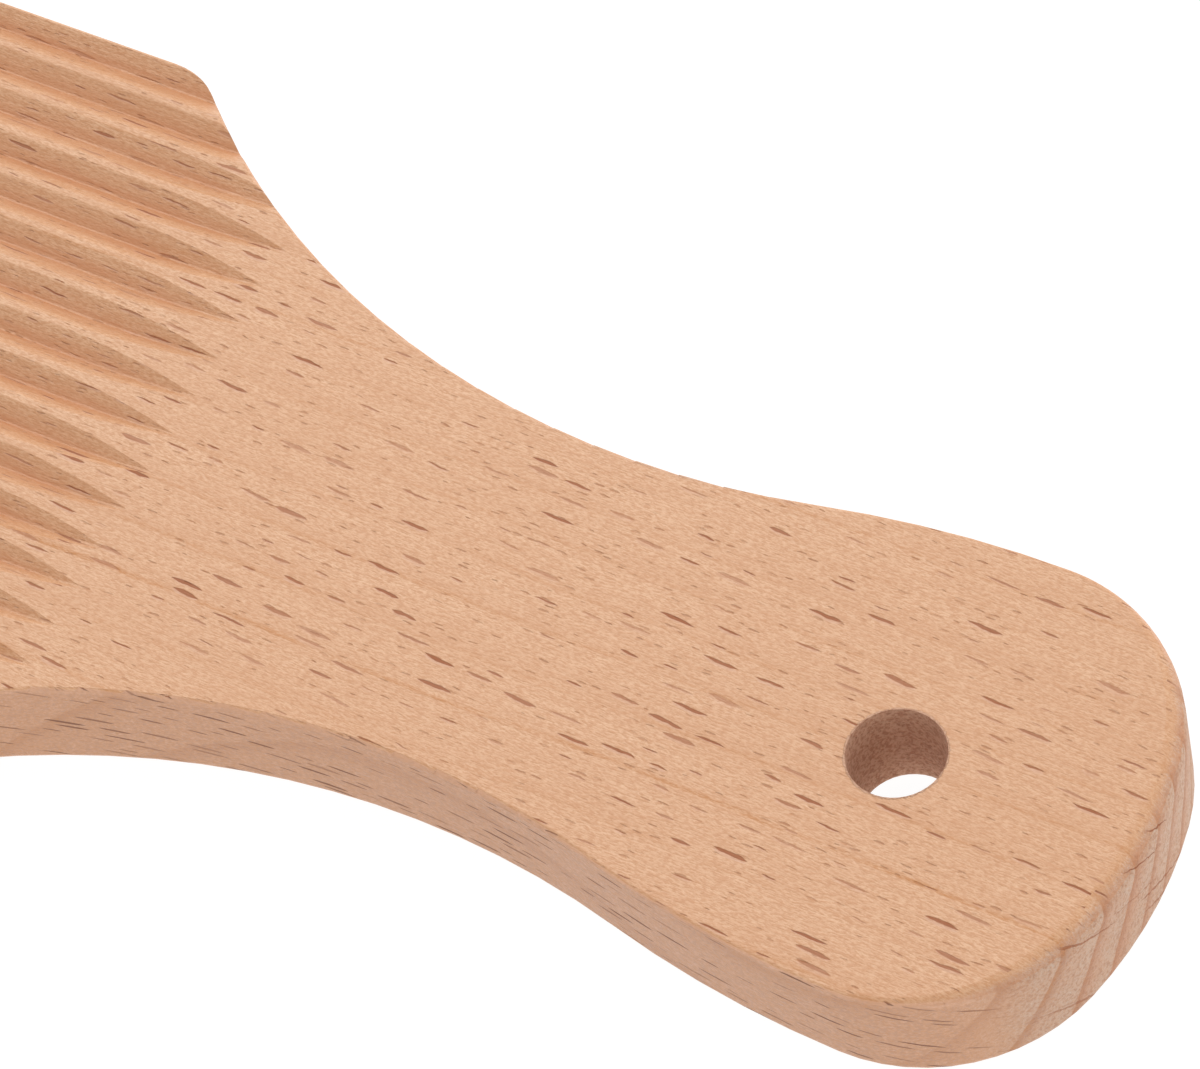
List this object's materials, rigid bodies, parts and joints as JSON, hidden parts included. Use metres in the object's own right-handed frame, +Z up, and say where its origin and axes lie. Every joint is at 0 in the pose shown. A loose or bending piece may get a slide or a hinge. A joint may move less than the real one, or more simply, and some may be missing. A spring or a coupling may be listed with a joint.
{
  "type": "gnocchi board",
  "caption": "Flat paddle of solid beech with a ridged blade for rolling gnocchi, a waisted handle with a rounded butt, and a hanging hole.",
  "frame": {"origin": "middle of the underside, on the surface that the board lies on", "axes": "+X along the board towards the handle's butt, +Z up out of the ridged face"},
  "size_m": [0.215, 0.065, 0.009],
  "materials": {
    "beech": "bare sanded beech, matt, with brown ray flecks along the grain"
  },
  "bodies": {
    "root": {"board": "beech"}
  },
  "joints": []
}
